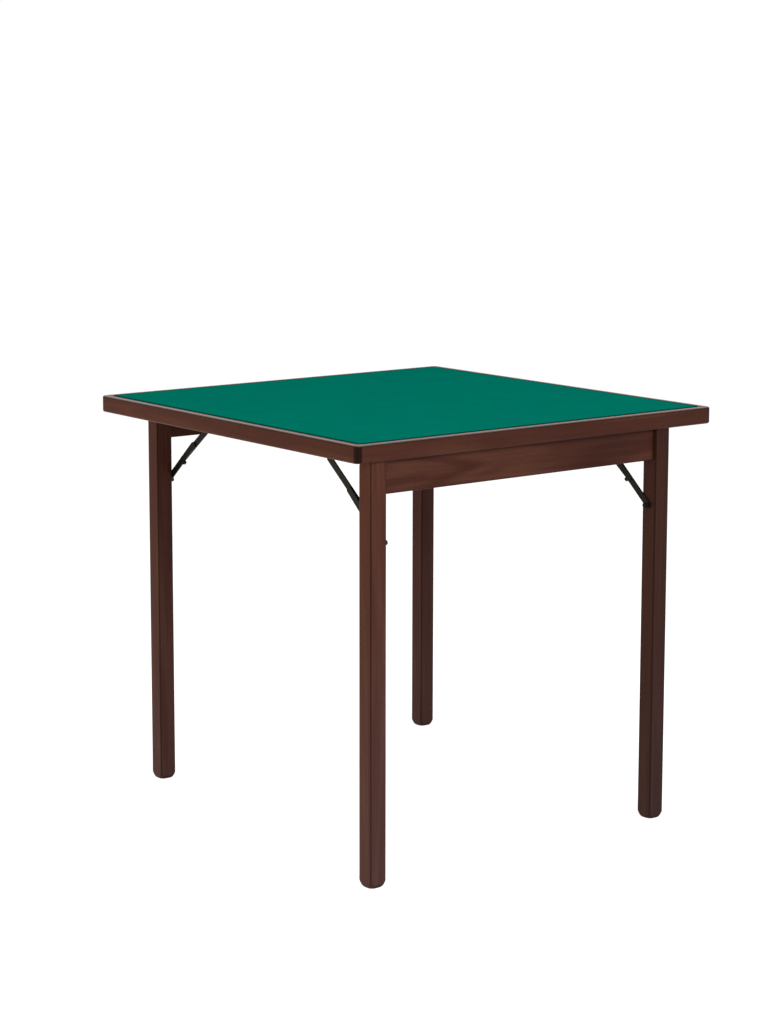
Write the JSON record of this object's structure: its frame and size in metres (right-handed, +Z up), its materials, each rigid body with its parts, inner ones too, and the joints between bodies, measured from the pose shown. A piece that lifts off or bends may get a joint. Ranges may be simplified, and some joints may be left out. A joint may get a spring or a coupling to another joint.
{
  "type": "folding table",
  "caption": "Square folding card table with a green baize top in a dark walnut rim and square wooden legs that fold flat on black metal stays.",
  "frame": {"origin": "on the floor, under the middle of the top", "axes": "+Z up; +X along the aprons, on which the legs hinge; +Y across the table, from one pair of legs to the other"},
  "size_m": [0.8, 0.8, 0.75],
  "materials": {
    "walnut": "satin dark walnut stain, open grain",
    "plywood": "bare plywood",
    "baize": "matt napped wool cloth",
    "black_steel": "satin black",
    "zinc_steel": "zinc plated"
  },
  "bodies": {
    "top": {"rim_front": "walnut", "rim_right": "walnut", "rim_rear": "walnut", "rim_left": "walnut", "playing_board": "plywood", "baize": "baize", "apron_front": "walnut", "apron_rear": "walnut", "hinge_pins": "zinc_steel", "stay_bracket_front_left": "black_steel", "stay_bracket_front_right": "black_steel", "stay_bracket_rear_left": "black_steel", "stay_bracket_rear_right": "black_steel"},
    "leg_front_left": {"leg_front_left": "walnut", "stay_screw_front_left": "black_steel"},
    "lower_stay_front_left": {"lower_link_front_left": "black_steel", "knee_rivet_front_left": "black_steel"},
    "upper_stay_front_left": {"upper_link_front_left": "black_steel"},
    "leg_front_right": {"leg_front_right": "walnut", "stay_screw_front_right": "black_steel"},
    "lower_stay_front_right": {"lower_link_front_right": "black_steel", "knee_rivet_front_right": "black_steel"},
    "upper_stay_front_right": {"upper_link_front_right": "black_steel"},
    "leg_rear_left": {"leg_rear_left": "walnut", "stay_screw_rear_left": "black_steel"},
    "lower_stay_rear_left": {"lower_link_rear_left": "black_steel", "knee_rivet_rear_left": "black_steel"},
    "upper_stay_rear_left": {"upper_link_rear_left": "black_steel"},
    "leg_rear_right": {"leg_rear_right": "walnut", "stay_screw_rear_right": "black_steel"},
    "lower_stay_rear_right": {"lower_link_rear_right": "black_steel", "knee_rivet_rear_right": "black_steel"},
    "upper_stay_rear_right": {"upper_link_rear_right": "black_steel"}
  },
  "joints": [
    {"name": "leg_fold_front_left", "type": "hinge", "parent": "top", "child": "leg_front_left", "pos_m": [-0.35, -0.3755, 0.7025], "axis": [1, 0, 0], "range_deg": [0, 90]},
    {"name": "lower_stay_turn_front_left", "type": "hinge", "parent": "leg_front_left", "child": "lower_stay_front_left", "pos_m": [-0.35, -0.3755, 0.58], "axis": [1, 0, 0], "range_deg": [-131.19, 0]},
    {"name": "knee_turn_front_left", "type": "hinge", "parent": "lower_stay_front_left", "child": "upper_stay_front_left", "pos_m": [-0.35, -0.29392, 0.65139], "axis": [1, 0, 0], "range_deg": [0, 183.4]},
    {"name": "leg_fold_front_right", "type": "hinge", "parent": "top", "child": "leg_front_right", "pos_m": [0.2865, -0.3755, 0.7025], "axis": [1, 0, 0], "range_deg": [0, 90]},
    {"name": "lower_stay_turn_front_right", "type": "hinge", "parent": "leg_front_right", "child": "lower_stay_front_right", "pos_m": [0.2865, -0.3755, 0.58], "axis": [1, 0, 0], "range_deg": [-131.19, 0]},
    {"name": "knee_turn_front_right", "type": "hinge", "parent": "lower_stay_front_right", "child": "upper_stay_front_right", "pos_m": [0.2865, -0.29392, 0.65139], "axis": [1, 0, 0], "range_deg": [0, 183.4]},
    {"name": "leg_fold_rear_left", "type": "hinge", "parent": "top", "child": "leg_rear_left", "pos_m": [-0.2865, 0.3755, 0.7025], "axis": [-1, 0, 0], "range_deg": [0, 90]},
    {"name": "lower_stay_turn_rear_left", "type": "hinge", "parent": "leg_rear_left", "child": "lower_stay_rear_left", "pos_m": [-0.2865, 0.3755, 0.58], "axis": [-1, 0, 0], "range_deg": [-131.19, 0]},
    {"name": "knee_turn_rear_left", "type": "hinge", "parent": "lower_stay_rear_left", "child": "upper_stay_rear_left", "pos_m": [-0.2865, 0.29392, 0.65139], "axis": [-1, 0, 0], "range_deg": [0, 183.4]},
    {"name": "leg_fold_rear_right", "type": "hinge", "parent": "top", "child": "leg_rear_right", "pos_m": [0.35, 0.3755, 0.7025], "axis": [-1, 0, 0], "range_deg": [0, 90]},
    {"name": "lower_stay_turn_rear_right", "type": "hinge", "parent": "leg_rear_right", "child": "lower_stay_rear_right", "pos_m": [0.35, 0.3755, 0.58], "axis": [-1, 0, 0], "range_deg": [-131.19, 0]},
    {"name": "knee_turn_rear_right", "type": "hinge", "parent": "lower_stay_rear_right", "child": "upper_stay_rear_right", "pos_m": [0.35, 0.29392, 0.65139], "axis": [-1, 0, 0], "range_deg": [0, 183.4]}
  ],
  "couplings": [
    {"joint": "lower_stay_turn_front_left", "follows": "leg_fold_front_left", "ratio": -1.4576},
    {"joint": "knee_turn_front_left", "follows": "leg_fold_front_left", "ratio": 2.0378},
    {"joint": "lower_stay_turn_front_right", "follows": "leg_fold_front_right", "ratio": -1.4576},
    {"joint": "knee_turn_front_right", "follows": "leg_fold_front_right", "ratio": 2.0378},
    {"joint": "lower_stay_turn_rear_left", "follows": "leg_fold_rear_left", "ratio": -1.4576},
    {"joint": "knee_turn_rear_left", "follows": "leg_fold_rear_left", "ratio": 2.0378},
    {"joint": "lower_stay_turn_rear_right", "follows": "leg_fold_rear_right", "ratio": -1.4576},
    {"joint": "knee_turn_rear_right", "follows": "leg_fold_rear_right", "ratio": 2.0378}
  ]
}
